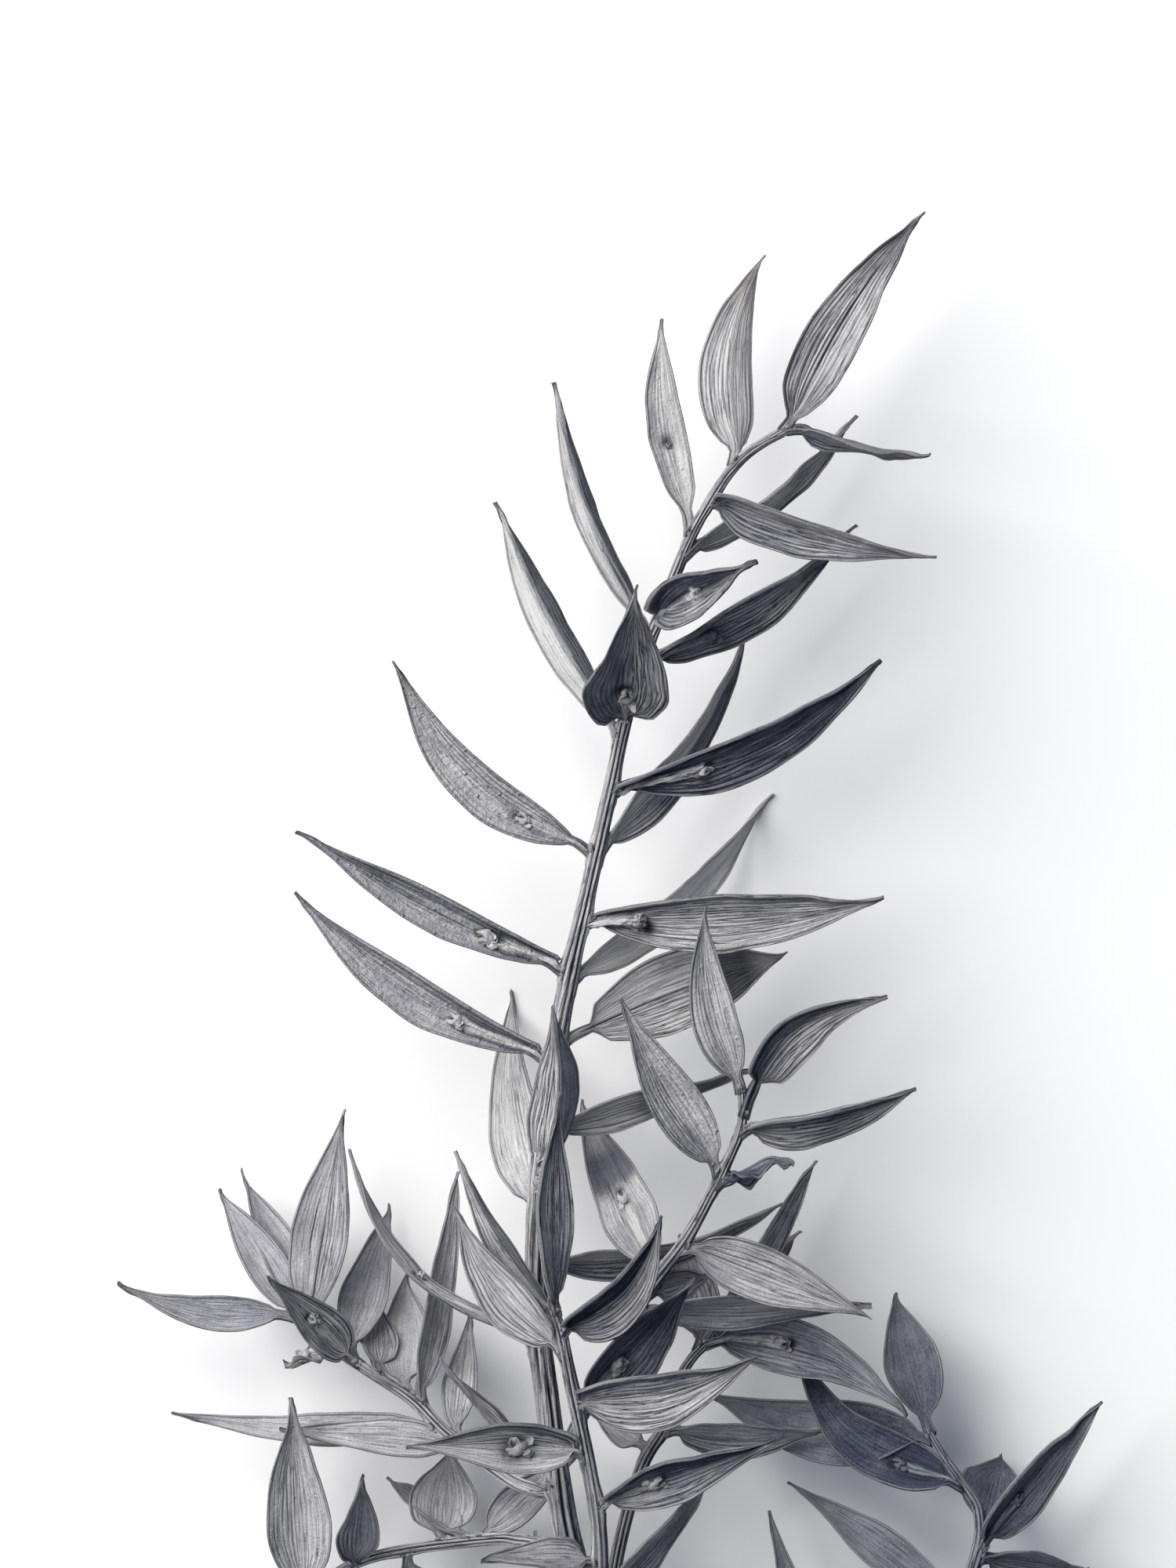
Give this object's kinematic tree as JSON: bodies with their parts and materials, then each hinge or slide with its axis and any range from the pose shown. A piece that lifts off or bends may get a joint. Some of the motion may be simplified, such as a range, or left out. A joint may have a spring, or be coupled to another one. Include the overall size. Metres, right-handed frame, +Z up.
{
  "type": "dried ruscus stem",
  "caption": "Cut, dried butcher's broom branch lying down: a ridged woody stem with leafy side shoots of spiny, folded, leaf-like blades and dried flower knots.",
  "frame": {"origin": "middle of the branch's box in plan, on the surface that it lies on", "axes": "+Z up from that surface, +Y from the cut end of the main stem to its growing tip, +X to the right when looked down on with the tip away"},
  "size_m": [0.1008, 0.2686, 0.0395],
  "materials": {
    "ash_stem": "matt ash-grey dyed dried stem and blades",
    "ash_leaf": "matt ash-grey dyed dried blades with fine ribs"
  },
  "bodies": {
    "root": {"main_stem": "ash_stem", "front_shoot": "ash_leaf", "right_shoot": "ash_leaf", "left_shoot": "ash_leaf", "lower_left_shoot": "ash_leaf", "back_right_shoot": "ash_leaf", "far_right_shoot": "ash_leaf"}
  },
  "joints": []
}
